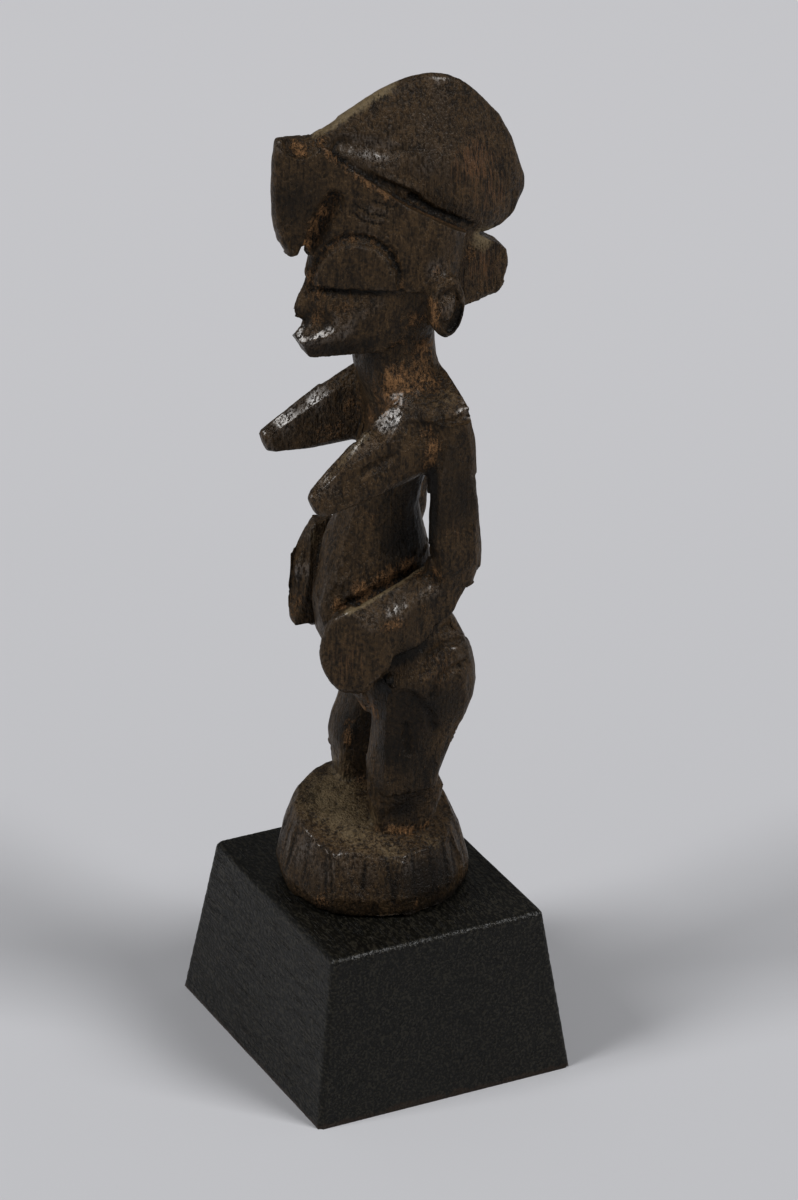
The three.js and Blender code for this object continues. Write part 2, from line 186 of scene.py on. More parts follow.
class Skin:
    """A piece's surface while it is carved: points in its own millimetres, triangles, edges"""

    def __init__(self, mesh):
        self.mesh = mesh
        mesh.calc_loop_triangles()
        count = len(mesh.vertices)
        points = np.empty(3 * count)
        mesh.vertices.foreach_get("co", points)
        self.points = own(points.reshape(-1, 3))
        triangles = np.empty(3 * len(mesh.loop_triangles), dtype=np.int32)
        mesh.loop_triangles.foreach_get("vertices", triangles)
        self.triangles = triangles.reshape(-1, 3)
        edges = np.empty(2 * len(mesh.edges), dtype=np.int32)
        mesh.edges.foreach_get("vertices", edges)
        self.edges = edges.reshape(-1, 2)
        self.degree = np.bincount(edges, minlength=count)
        self.scored = np.zeros(count)

    def gather(self, where, amounts):
        """Add up rows of amounts at the points that `where` names"""
        count = len(self.points)
        return np.stack([np.bincount(where, column, count) for column in amounts.T], axis=1)

    def normals(self):
        """The way out at each point, from the triangles round it"""
        a, b, c = (self.points[self.triangles[:, k]] for k in range(3))
        across = np.cross(b - a, c - a)
        total = sum(self.gather(self.triangles[:, k], across) for k in range(3))
        return total / np.maximum(np.linalg.norm(total, axis=1, keepdims=True), NO_LENGTH)

    def evened(self, values, rounds, share=0.5):
        """Values (one row a point) blended with those of their neighbours, several times over"""
        first, second = self.edges.T
        for _ in range(rounds):
            around = self.gather(first, values[second]) + self.gather(second, values[first])
            values = values + share * (around / self.degree[:, None] - values)
        return values

    def worn(self, rounds, share=0.5):
        """Smooth the whole skin"""
        self.points = self.evened(self.points, rounds, share)

    def pushed(self, distance):
        """Move every point along its normal by its own distance"""
        self.points = self.points + distance[:, None] * self.normals()

    def store(self):
        """Give the carved points back to the mesh"""
        self.mesh.vertices.foreach_set("co", framed(self.points).ravel())
        self.mesh.update()

    def paint(self, name, values):
        """Keep a mask on the mesh, one number a point"""
        layer = self.mesh.attributes.new(name, "FLOAT", "POINT")
        layer.data.foreach_set("value", np.clip(values, 0, 1).astype(np.float32))
        print("mask", name, "is over a half on", f"{np.mean(values > 0.5):.1%}", "of the points")


def smoothstep(values, low, high):
    """0 up to low, 1 from high on, and smooth between them"""
    share = np.clip((values - low) / (high - low), 0, 1)
    return share * share * (3 - 2 * share)


# %% [markdown]
# ## The knife's facets
#
# A blade that follows the grain leaves long flat slices that meet in soft ridges. A coarse
# decimate would give flats too, but with sharp corners that follow no grain. So we scatter seeds
# over the skin, take the plane that touches the skin at each seed, and let every point drop to
# the lowest plane of the seeds round it. Seeds are spaced wider along the grain, which runs up
# the figure, so the slices come out long.

# %% Seeds for the slices
SEEDS_TRIED = 12000


def scattered(skin, spacing, grain, where, draw):
    """Seeds on the skin about one spacing apart, and grain times that up and down"""
    scale = np.array((1, 1, 1 / grain)) / spacing
    kept = []
    places = np.empty((0, 3))
    for index in draw.permutation(np.flatnonzero(where))[:SEEDS_TRIED]:
        place = skin.points[index] * scale
        if not len(kept) or np.min(np.sum((places - place) ** 2, axis=1)) > 1:
            kept.append(index)
            places = np.vstack((places, place))
    return np.array(kept), scale


# %% Slicing with planes
PLANE_ROUNDS = 12
PLANES_ROUND_A_POINT = 6
STEEPEST, LEAST_FACING, FARTHEST = 0.4, 0.55, 1.7
SUNK_SHARE = 0.4


def facet(skin, spacing, grain, tilt, bite, rise, where, seed):
    """Cut flat slices where `where` is over 0; bite and rise limit the cut in millimetres"""
    draw = np.random.default_rng(seed)
    seeds, scale = scattered(skin, spacing, grain, where > 0.5, draw)
    lean = draw.normal(0, tilt, (len(seeds), 3))
    planes = skin.evened(skin.normals(), PLANE_ROUNDS)[seeds] + lean
    planes /= np.linalg.norm(planes, axis=1, keepdims=True)
    touch = skin.points[seeds]
    sunk = draw.uniform(0, SUNK_SHARE * bite, len(seeds))
    tree = KDTree(len(seeds))
    for index, place in enumerate(touch * scale):
        tree.insert(place, index)
    tree.balance()
    cut = np.flatnonzero(where > 0)
    found = [tree.find_n(place, PLANES_ROUND_A_POINT) for place in skin.points[cut] * scale]
    nearest = np.array([[hit[1] for hit in hits] for hits in found])
    apart = np.array([[hit[2] for hit in hits] for hits in found])
    facing = np.einsum("nk,nmk->nm", skin.normals()[cut], planes[nearest])
    away = touch[nearest] - skin.points[cut][:, None]
    gap = np.einsum("nmk,nmk->nm", away, planes[nearest]) - sunk[nearest]
    drop = gap / np.maximum(facing, STEEPEST)
    drop[(facing < LEAST_FACING) | (apart > FARTHEST)] = rise
    moved = np.zeros(len(where))
    moved[cut] = np.clip(drop.min(axis=1), -bite, rise)
    skin.pushed(moved * where)
    print("facets:", len(seeds), "slices, deepest", round(float(-moved.min()), 2), "mm")


# %% [markdown]
# ## Cuts at chosen places
#
# The rest of the carving is in its place for a reason, so we give each cut its points. Booleans
# could do it, but pushing points keeps the skin closed and its faces even. A scored line is a V
# along a route over the skin, a gouge is the same with a round bottom, and a slice is one plane
# that takes off what stands above it. Rubbing smooths a small place, where two forms run
# together.

# %% Scoring and gouging
SAME_SIDE = 0.1


def route(corners, step=0.5):
    """Evenly spaced points along straight lines between corners"""
    corners = np.array(corners, dtype=float)
    pieces = []
    for start, end in zip(corners[:-1], corners[1:]):
        count = max(1, int(np.linalg.norm(end - start) / step))
        pieces.append(start + (end - start) * np.arange(count)[:, None] / count)
    return np.vstack(pieces + [corners[-1:]])


def closeness(skin, corners, width):
    """1 on a line over the skin and 0 half its width away, where the skin faces the line's way"""
    line = route(corners)
    normals = skin.normals()
    nearest = np.array([np.argmin(np.sum((skin.points - point) ** 2, axis=1)) for point in line])
    line, facing = skin.points[nearest], normals[nearest]
    low, high = line.min(axis=0) - width, line.max(axis=0) + width
    near = np.flatnonzero(np.all((skin.points > low) & (skin.points < high), axis=1))
    apart = np.linalg.norm(skin.points[near][:, None] - line[None], axis=2)
    nearest = np.argmin(apart, axis=1)
    share = np.clip(1 - apart[np.arange(len(near)), nearest] / (width / 2), 0, 1)
    share *= np.einsum("nk,nk->n", normals[near], facing[nearest]) > SAME_SIDE
    whole = np.zeros(len(skin.points))
    whole[near] = share
    return whole


def score(skin, corners, width, depth, dark=1.0):
    """Cut a V along a route, and remember how much painted shade its groove gets"""
    share = closeness(skin, corners, width)
    skin.scored = np.maximum(skin.scored, dark * share)
    skin.pushed(-depth * share)


def gouge(skin, corners, width, depth):
    """Cut a channel with a round bottom along a route"""
    skin.pushed(-depth * smoothstep(closeness(skin, corners, width), 0, 1))


def both(corners):
    """A route and its mirror image on the figure's other side"""
    return corners, [(-x, y, z) for x, y, z in corners]


# %% Slicing, scooping and rubbing
DEEPEST_SLICE = 1.5
SLICE_FACING = 0.3
FADE_FROM = 0.6


def within(skin, at, reach):
    """1 near a point, 0 from its reach on"""
    apart = np.linalg.norm(skin.points - np.array(at, float), axis=1)
    return 1 - smoothstep(apart, FADE_FROM * reach, reach)


def slice_off(skin, at, facing, reach, depth=0.0):
    """Flatten what stands above a plane, within reach of the point it goes through"""
    at, facing = np.array(at, float), np.array(facing, float)
    facing /= np.linalg.norm(facing)
    above = np.clip((skin.points - at) @ facing + depth, 0, DEEPEST_SLICE)
    share = within(skin, at, reach) * (skin.normals() @ facing > SLICE_FACING)
    skin.points = skin.points - (above * share)[:, None] * facing


def scoop(skin, at, radius):
    """Take out a ball, which leaves a bowl with a sharp rim"""
    away = skin.points - np.array(at, float)
    apart = np.linalg.norm(away, axis=1, keepdims=True)
    bowl = at + away * radius / np.maximum(apart, SAME_POINT)
    skin.points = np.where(apart < radius, bowl, skin.points)


def rub(skin, at, reach, rounds):
    """Smooth the skin within reach of a point"""
    near = within(skin, at, reach)[:, None]
    skin.points = skin.points + near * (skin.evened(skin.points, rounds) - skin.points)


def bevel(skin, corners, facing, reach, depth):
    """Slice along a route"""
    for point in route(corners, reach / 2):
        slice_off(skin, point, facing, reach, depth)


# %% Steps in the skin
LEDGE_WIDTH = 0.7
LEDGE_FADE_FROM = 0.3


def ledge(skin, corners, toward, reach, depth):
    """Lower the skin on one side of a route, out to its reach, so that the other stands proud"""
    line, toward = route(corners), np.array(toward, float) / np.linalg.norm(toward)
    low, high = line.min(axis=0) - reach, line.max(axis=0) + reach
    near = np.flatnonzero(np.all((skin.points > low) & (skin.points < high), axis=1))
    away = skin.points[near][:, None] - line[None]
    nearest = np.argmin(np.linalg.norm(away, axis=2), axis=1)
    away = away[np.arange(len(near)), nearest]
    share = np.zeros(len(skin.points))
    apart = np.linalg.norm(away, axis=1)
    fading = 1 - smoothstep(apart, LEDGE_FADE_FROM * reach, reach)
    share[near] = smoothstep(away @ toward, 0, LEDGE_WIDTH) * fading
    skin.pushed(-depth * share)


# %% [markdown]
# ## The figure
#
# Where the figure stands fuller than its solid, between forelock and brow and round the arms, we
# first add small lumps, which the remesh fuses with the rest. We carve at a finer step than we
# keep. The skin is remeshed at 0.4 mm, rubbed until the solid's own corners are soft, and cut
# into slices. Then the chosen cuts follow, from the head down.

# %% Wood for the deeper forms
BROW = [(-14, 143), (-14, 154), (-16.6, 143.4), (-19.6, 153), (-17.4, 147)]
FAR_HAND = [(-11, 79.6), (-6, 80.4), (-15.4, 72), (-15.7, 61), (-15, 57), (-10, 57), (-6, 72)]
ARM_FRONT = [(5.6, 98), (5.6, 82), (8, 98), (8, 82)]
ARMPIT = [(13, 5, 99), (16, 5, 99), (13, 4.6, 93.6), (14.6, 5, 93.6), (13, 9, 99), (16, 9, 99),
          (13.6, 8, 93)]
ELBOW = [(11, 5, 74), (15, 5, 74), (12.6, 5.4, 79.6), (14.6, 5.4, 79.6), (12, 9, 74), (15, 9, 79)]


def slab(outline, left, right):
    """The corners of an outline seen from the side, given its width across"""
    return [(x, y, z) for x in (left, right) for y, z in outline]


ADDED = [slab(BROW, -1.4, 1.4), slab(FAR_HAND, -10.4, -7.4), slab(ARM_FRONT, 13, 15.6),
         ARMPIT, ELBOW]
print("lumps of wood added:", len(ADDED))

# %% Rough out the figure
CARVING_STEP = 0.4
figure_piece = remeshed("figure", "carved_figure", CARVING_STEP, ADDED)
skin = Skin(figure_piece.data)
skin.worn(1)
RUBBED = [
    ((15.4, 4.6, 104), 7, 30), ((9.5, 2, 112.5), 8, 30), ((-9, -1, 108), 8, 30),
    ((-8, -4, 101), 6, 20), ((13.5, 4, 114), 4, 5), ((10.4, 4.5, 130), 5, 16),
    ((-10.4, 4.5, 130), 5, 16), ((16, 9, 76), 4, 4), ((-15, 9, 78), 6, 14),
    ((12.4, 6, 139.4), 5, 30), ((-12.4, 6, 139.4), 5, 30), ((0, -23.6, 168.6), 4.5, 30),
]
for at, reach, rounds in RUBBED:
    rub(skin, at, reach, rounds)
print("places rubbed soft:", len(RUBBED))

# %% Slices along the grain
height = skin.points[:, 2]
head = smoothstep(height, 118, 124)
base_part = 1 - smoothstep(height, 18, 21)
body_part = (1 - head) * (1 - base_part)
facet(skin, spacing=5.5, grain=2, tilt=0.045, bite=0.3, rise=0.1,
      where=body_part, seed=4)
facet(skin, spacing=6, grain=1.4, tilt=0.035, bite=0.22, rise=0.08,
      where=head, seed=9)
facet(skin, spacing=6, grain=3.2, tilt=0.06, bite=0.5, rise=0.15,
      where=base_part, seed=2)
skin.worn(1, 0.3)

# %% The eyes
EYE_FROM, EYE_TO, EYE_FLOOR, EYE_HEIGHT = (2, -15.8), (10.6, -0.6), 137, 10
LID_RISE, LID_OVERHANG, FLOOR_DROP, LID_POINTS = 1.3, 0.54, 0.5, 19
eye_line = []
for turn in np.linspace(0, math.pi, LID_POINTS):
    share = 0.5 - LID_OVERHANG * math.cos(turn)
    x = EYE_FROM[0] + (EYE_TO[0] - EYE_FROM[0]) * share
    y = EYE_FROM[1] + (EYE_TO[1] - EYE_FROM[1]) * share
    eye_line.append((x, y, EYE_FLOOR + (EYE_HEIGHT + LID_RISE) * math.sin(turn)))
lid_floor = [(*EYE_FROM, EYE_FLOOR - FLOOR_DROP), (*EYE_TO, EYE_FLOOR - FLOOR_DROP)]
for line in both(eye_line):
    score(skin, line, width=1.7, depth=0.65, dark=0.6)
for line in both(lid_floor):
    score(skin, line, width=1.5, depth=0.9)
print("each eye is", EYE_HEIGHT, "mm high over its floor at", EYE_FLOOR, "mm")

# %% Under the crest, and between forelock and brow
UNDER_CREST = [(3.4, -12.4, 165.4), (4.2, -9.8, 163.6), (5, -7.4, 161.8), (5.8, -4.8, 160.2),
               (6.4, -2, 158.4), (6.8, 1.2, 156.8), (6.6, 4.2, 155)]
CREST_FOOT = [(6.4, 3.4, 155.2), (6, 8, 152), (5.8, 12, 149.6), (5.4, 16.6, 147)]
VALLEY = [(4, -12.2, 156), (2.8, -13.6, 152), (1.6, -14.8, 148.6), (1, -15.6, 145.6)]
for line in both(UNDER_CREST):
    gouge(skin, line, width=2.4, depth=0.8)
for line in both(CREST_FOOT):
    score(skin, line, width=1.7, depth=0.8)
for line in both(VALLEY):
    gouge(skin, line, width=5.4, depth=1.1)
print("gouged under the crest on", len(route(UNDER_CREST)), "points a side")

# %% Temple marks and the bowl in the forelock
TEMPLE_MARKS = [
    [(6, -8.4, 155), (7, -6, 153.2), (8.2, -2.8, 152.4)],
    [(5.6, -9, 153.2), (6.6, -7, 151.6), (7.9, -3.8, 150.8)],
    [(7.4, -5, 155.8), (8.2, -2.6, 154.6), (8.6, -0.8, 154.4)]]
for line in TEMPLE_MARKS:
    score(skin, line, width=1.3, depth=0.42, dark=0.7)
BOWL_AT, BOWL_RADIUS = (3.9, -18.9, 169.2), 4.5
scoop(skin, BOWL_AT, BOWL_RADIUS)
print("temple marks:", len(TEMPLE_MARKS))

# %% Planes of the face and ears
for side in (1, -1):
    slice_off(skin, (side * 3.8, -16.2, 127.4), (side * 0.5, -0.64, 0.6), reach=6.5, depth=0.9)
    slice_off(skin, (side * 3.2, -16.6, 124), (side * 0.86, -0.4, -0.32), reach=5, depth=0.5)
    crest_edge = [(side * 3.4, -10, 166.2), (side * 4.9, -4.6, 165), (side * 5.9, 0.2, 163.6)]
    bevel(skin, crest_edge, facing=(side * 0.7, -0.3, 0.64), reach=3, depth=0.4)
    rub(skin, (side * 4.6, -5, 164.8), reach=6, rounds=12)
    slice_off(skin, (side * 13.3, 8.8, 134.6), (side * 0.84, -0.2, 0.5), reach=3.4, depth=0.35)
    ear_rim = [(side * 12.7, 11.4, 133), (side * 12.8, 11, 129.6), (side * 12.6, 9.4, 127.8)]
    gouge(skin, ear_rim, width=2.2, depth=0.7)
print("the head is now", round(float(np.ptp(skin.points[head > 0.5, 0])), 1), "mm wide")

# %% Planes of the breasts, the near shin, the shoulder and the far forearm
BREAST_PLANES = [
    ((15.6, -8, 101.4), (0.96, -0.2, 0.2), 15, 0.5),
    ((12.2, -11.5, 105), (0.34, -0.62, 0.7), 13, 0.45),
    ((14.4, -10.5, 103.6), (0.66, -0.42, 0.62), 12, 0.3),
    ((-10.6, -12, 104.2), (0.44, -0.62, 0.64), 11, 0.35),
    ((-9, -9.4, 101), (0.93, -0.34, 0.1), 12, 0.3)]
SHIN_PLANES = [
    plane for z in (47, 42, 37, 32)
    for plane in (((12.4, -3.6, z), (0.2, -0.98, 0.05), 5, 0.5),
                  ((14.8, 0.4, z), (0.94, -0.34, 0), 5, 0.4))]
OTHER_PLANES = [
    ((12, -2.2, 111.6), (0.43, -0.62, 0.65), 7, 0.8),
    ((-7.4, -13.2, 68), (0.46, -0.87, 0.1), 12, 0.4)]
for at, facing, reach, depth in BREAST_PLANES + SHIN_PLANES + OTHER_PLANES:
    slice_off(skin, at, facing, reach, depth)
print("the body is now", round(float(np.ptp(skin.points[body_part > 0.5, 1])), 1), "mm deep")

# %% The near forearm, hand and shoulder
UNDER_ARM = [(15.4, -3.2, 56.6), (15.6, -1.6, 58.4), (16.2, 3.8, 61.2), (16.6, 9.8, 66.9),
             (17, 15, 72.6)]
BESIDE_HAND = [(15.3, -3, 56.8), (14.8, -4, 53.6), (13.6, -6, 50.4)]
ledge(skin, UNDER_ARM, toward=(0, 0.67, -0.74), reach=9, depth=0.9)
ledge(skin, BESIDE_HAND, toward=(0, 1, -0.2), reach=7, depth=0.9)
ARM_EDGE = [(13.2, -5.6, 69.2), (14.4, -0.4, 72), (15.6, 4.6, 74.6)]
bevel(skin, ARM_EDGE, facing=(0.72, -0.2, 0.66), reach=3.4, depth=0.8)
rub(skin, (-8, -15.4, 66), reach=9, rounds=3)
rub(skin, (14.4, -0.6, 71.8), reach=8, rounds=10)
SHOULDER = [(16.4, 4.4, 110.4), (16, 8.9, 111), (15.4, 12.4, 111.9)]
ledge(skin, SHOULDER, toward=(0, 0, -1), reach=7, depth=0.6)
print("step under the forearm:", len(route(UNDER_ARM)), "points long")

# %% Gouge marks on hip, leg and forearm
BODY_MARKS = [
    [(14.6, 12.6, 59.7), (16.1, 8.5, 59.7), (16.3, 5.3, 57.8), (16.3, 4.5, 54.7)],
    [(17, 5, 46), (16.6, 7, 41)],
    [(15.2, 13.2, 54.8), (16.2, 10, 54.5), (16.6, 6.9, 52.6), (16.6, 6.1, 49.4)],
    [(15.6, 12, 64), (16.4, 8, 63)],
    [(15.8, -10, 101), (15.9, -4, 104)], [(15.6, 1, 42), (15.2, 1.6, 36)]]
for line in BODY_MARKS:
    gouge(skin, line, width=2.8, depth=0.7)
FOREARM_SEAM = [(6.4, -10.8, 66.6), (8.4, -5.4, 69.8), (9.2, -0.6, 72.4), (8.8, 4.6, 74.6)]
gouge(skin, FOREARM_SEAM, width=3, depth=1)
print("gouge marks:", len(BODY_MARKS) + 1)

# %% Upright scores round the base
SCORE_EVERY, SCORE_WANDER, SCORE_LEAN = 0.21, 0.05, 0.04
draw = np.random.default_rng(5)
turns = np.arange(0, 2 * math.pi, SCORE_EVERY)
for angle in turns + draw.normal(0, SCORE_WANDER, len(turns)):
    lean = draw.normal(0, SCORE_LEAN)
    steps = ((17.4, angle, 14.5), (18.8, angle + lean, 9), (20, angle + 1.6 * lean, 3.4))
    line = [(radius * math.cos(turn), radius * math.sin(turn), z) for radius, turn, z in steps]
    score(skin, line, width=draw.uniform(1, 1.8), depth=draw.uniform(0.15, 0.45), dark=0.8)
skin.worn(1, 0.2)
print("scores round the base:", len(turns))

# %% [markdown]
# ## What the surface remembers
#
# Oil and soot stay where no finger reaches, hands polish what stands out, and ochre dust clings
# round the joints of the carving. The hollows and shadowed places also get painted shade, and some
# tops and ridges painted light. All of it could be painted into an image. Masks on the mesh need
# no image and fit the shape by themselves: a point that lies under the average of its surroundings
# is in a hollow, one above it is on an edge. The dust we dab on, one round spot at a time, and so
# the painted shade and light. The masks are stored on the mesh and the materials read them.

# %% Hollows and edges
def hollowness(skin, rounds):
    """How far each point lies under the smoothed surface round it, in millimetres"""
    soft = skin.evened(skin.points, rounds)
    return np.sum((soft - skin.points) * skin.normals(), axis=1)


def dabbed(skin, spots):
    """A mask of round spots: x, y, z, reach in millimetres and strength"""
    mask = np.zeros(len(skin.points))
    for *at, reach, strength in spots:
        apart = np.linalg.norm(skin.points - np.array(at, float), axis=1)
        mask = 1 - (1 - mask) * (1 - strength * (1 - smoothstep(apart, 0, reach)))
    return mask


def along(corners, reach, strength, step=1.2):
    """Spots in a row along a line"""
    return [(*point, reach, strength) for point in route(corners, step)]


def ring(radius, z, reach, strength, turns):
    """Spots round the base, one at each turn"""
    return [(radius * math.cos(turn), radius * math.sin(turn), z, reach, strength)
            for turn in turns]


FINE_ROUNDS, BROAD_ROUNDS = 10, 120
fine = hollowness(skin, FINE_ROUNDS)
broad = hollowness(skin, BROAD_ROUNDS)
skin.paint("edge", smoothstep(-fine, 0.02, 0.12))

# %% Ochre dust
HAIRLINE = [(3.9, -14.3, 166.5), (4.5, -11.3, 163.9), (5.6, -9, 161.6), (7, -6, 159.5),
            (7.6, -2.6, 157.2), (7.7, 0.9, 155), (7.7, 4.8, 152.6), (7.6, 8.1, 150.5),
            (7, 12.7, 147.8), (6, 17, 145)]
OCHRE = [
    (3.8, -12.4, 155.4, 3, 0.9), (2.3, -14, 152.2, 4, 1), (1, -15.3, 148.8, 4, 1),
    (0.6, -16, 145.6, 3.4, 1), (0.9, -18.7, 166.4, 3.6, 1), (2, -14.4, 168, 3, 0.8),
    (1, -16.2, 139, 4, 0.8), (3.5, -15.2, 136, 4, 0.8), (3, -15.6, 130.6, 3.4, 0.8),
    (6, -11, 133, 5, 0.45), (12.4, 5.6, 134.3, 3, 0.9), (12.3, 5.9, 129.8, 3.4, 0.9),
    (9.5, 3.2, 130.1, 4, 0.8), (13.2, 5.7, 132.4, 2.4, 0.9), (11.5, 7.5, 141.1, 3, 0.6),
    (8.5, 0.5, 124.7, 5, 0.6), (7.3, 6.4, 122.8, 5, 1), (8.9, -0.5, 116.3, 7, 0.9),
    (9.1, 3.7, 117.9, 6, 0.8), (9.7, 6.7, 116.2, 6, 0.7), (8.6, -3, 113, 6, 0.7),
    (-6.5, -2.7, 105.4, 6, 0.6), (-0.1, -2.1, 106, 6, 0.7), (5.8, -2.4, 111.5, 6, 0.7),
    (15.5, 4.1, 108.2, 3.4, 0.7), (15.7, 5.1, 104.6, 3.4, 0.9), (15.7, 4.6, 101.6, 4, 0.8),
    (-7.8, -7.5, 99.6, 6, 0.6), (6, -5.2, 87, 4, 0.4), (6.1, -10.3, 66.9, 4, 1),
    (8, -5.7, 70.6, 5, 1), (8.4, -1, 73.4, 5, 1), (8.6, 3, 75.4, 4, 1), (11.2, 4.6, 75.4, 4, 0.8),
    (15.9, 6.2, 76.2, 4, 0.6), (1.3, -3.6, 41.1, 5, 1), (8.1, -3.7, 42.9, 5, 1),
    (-4.4, -3.7, 30.1, 3.4, 0.9), (-4.4, -2.9, 34.1, 3, 0.6), (-5.1, -4, 22.3, 3, 0.7),
    (-4.6, -0.8, 20.5, 3, 0.7), (-7.8, -13.3, 62.6, 3, 0.8), (-9.2, -13.4, 59.2, 3, 0.8),
    (11.5, -15.4, 2.4, 3.6, 0.8), (4.4, 16.9, 140, 4, 0.7), (16.6, 3, 68.6, 3, 0.5),
]
OCHRE += along(HAIRLINE, 2.2, 0.7) + along(eye_line, 2.2, 0.7)
OCHRE += along([(15.8, -4.4, 66), (15.9, -1, 66.4)], 2.6, 0.7)
OCHRE += [(16.6, -10.6, 2.2, 2.6, 0.6), (4, -19.4, 2.2, 3, 0.6), (19.5, 3, 2.2, 2.6, 0.7)]
OCHRE += along([(10.3, -2.9, 16.8), (11.7, -1, 17), (11.9, 3, 16), (11.6, 7.6, 16.2)], 2.4, 0.8)
skin.paint("ochre", dabbed(skin, OCHRE))

# %% Pale dust, and painted light on tops and ridges
# Spots of pale dust on what faces up, and painted light along lit ridges of crest, forearm, breast
PALE_DUST_AND_LIGHT = [
    (4, 20, 143.1, 5, 1), (-7.1, -6.5, 19.8, 12, 0.6), (3.5, -7.3, 17.9, 12, 0.6),
    (10, -6.6, 15.7, 10, 0.5), (-2.1, -10.7, 18.5, 11, 0.5), (0, 8, 18, 12, 0.6),
    (13, 9, 113.4, 6, 0.4), (0, 0, 112, 9, 0.5), (-6.8, -11.4, 77, 4, 0.6), (4, -3.8, 40, 4, 0.4),
    (16, -1, 14, 7, 0.5), (-7.4, -14, 72, 3, 0.5), (14, 7, 14, 6, 0.4),
]
PALE_DUST_AND_LIGHT += along([(10.8, 7, 76.8), (10.8, -10.4, 68.6)], 2, 1)
PALE_DUST_AND_LIGHT += along([(0, -15, 169), (0, -8.6, 172.4), (0, 0.8, 177)], 3, 0.8)
PALE_DUST_AND_LIGHT += along([(13.4, -19.1, 98.9), (12.4, -12.4, 104.4), (11.4, -5.7, 109.5)], 2.4, 0.4)
skin.paint("pale", dabbed(skin, PALE_DUST_AND_LIGHT))

# %% Soot and painted shade in the hollows
# Spots of soot, and of painted shade where the figure lies in shadow: belly side, legs, arms, base
SOOT_AND_SHADE = [
    (16, 2, 46, 13, 0.7), (15.5, 0, 36, 11, 0.8), (17, 10, 46, 12, 0.5), (-9, -4, 44, 11, 1),
    (-6, -4, 32, 8, 0.7), (15, 6, 30, 9, 0.6), (12, 2, 22, 10, 0.8), (17, 8, 7, 13, 0.7),
    (19, -2, 7, 9, 0.4), (8.5, 1, 80, 9, 0.8), (7.6, -2, 88, 7, 0.5), (-5, -3, 36, 8, 0.5),
    (3, -20, 156, 12, 0.65), (18, 11, 92, 16, 0.55), (17, 9, 104, 7, 0.4), (17, 10, 78, 7, 0.4),
    (12.6, 11.4, 131.5, 2.6, 1), (12.8, 10.6, 128.8, 2.6, 1), (6, -2, 120, 6, 0.5),
    (7, 8, 126, 5, 0.6), (10, 2, 133, 6, 0.5), (14, 1, 60, 6, 0.4), (9, 7, 84, 10, 0.8),
    (8.5, 6, 92, 8, 0.7),
]
SOOT_AND_SHADE += along([(1, -17.4, 123), (3.5, -15, 123.6), (6, -9, 124.6), (8.5, -3, 126)], 3.6, 0.35)
SOOT_AND_SHADE += along(UNDER_CREST, 2.2, 0.35) + along(lid_floor, 1.6, 0.9) + along(eye_line, 1.4, 0.2)
SOOT_AND_SHADE += along([(15, 5.6, 100), (15, 5.6, 80)], 2.4, 0.6)
SOOT_AND_SHADE += along([(13.2, 8.4, 127), (12.6, 4.6, 127.4)], 2, 0.7)
SOOT_AND_SHADE += along([(15.4, -2, 55.6), (15.4, -0.6, 57), (16, 4.8, 60), (16.6, 10.8, 65.8),
               (17, 15.6, 71.6)], 3, 0.6)
SOOT_AND_SHADE += along([(14.6, -3, 53), (13.4, -5, 50)], 2.4, 0.6)
SOOT_AND_SHADE += [(12, -4, 44, 6, 0.6), (12, -4, 36, 6, 0.6), (11.6, -3.8, 28, 6, 0.6)]
# The low ring paints the contact shadow under the base's rim; the higher one darkens its flank
SOOT_AND_SHADE += ring(19.8, 0.4, 2.2, 0.95, np.arange(0, 6.3, 0.07))
SOOT_AND_SHADE += ring(19, 8, 8, 0.25, np.arange(0, 6.3, 0.35))
# Hollows and scored grooves are painted darker, as painted shade, over the soot
by_shape = smoothstep(fine, 0.03, 0.25) * 0.5 + smoothstep(broad, 0.15, 1.6)
deep = np.clip(by_shape + 0.7 * skin.scored, 0, 1)
skin.paint("recess", 1 - (1 - deep) * (1 - dabbed(skin, SOOT_AND_SHADE)))

# %% Bare streaked wood
BARE = [
    (5.5, 17, 160, 12, 1), (5.5, 22, 152, 8, 0.8), (4, 20, 137, 9, 0.9), (11.5, -11, 58, 11, 0.6),
    (16.5, 8, 54, 10, 0.6), (15, 2, 40, 9, 0.4), (18, 10, 100, 10, 0.3), (18, 10, 86, 10, 0.4),
    (7, 2, 160, 9, 0.3),
]
skin.paint("bare", dabbed(skin, BARE))

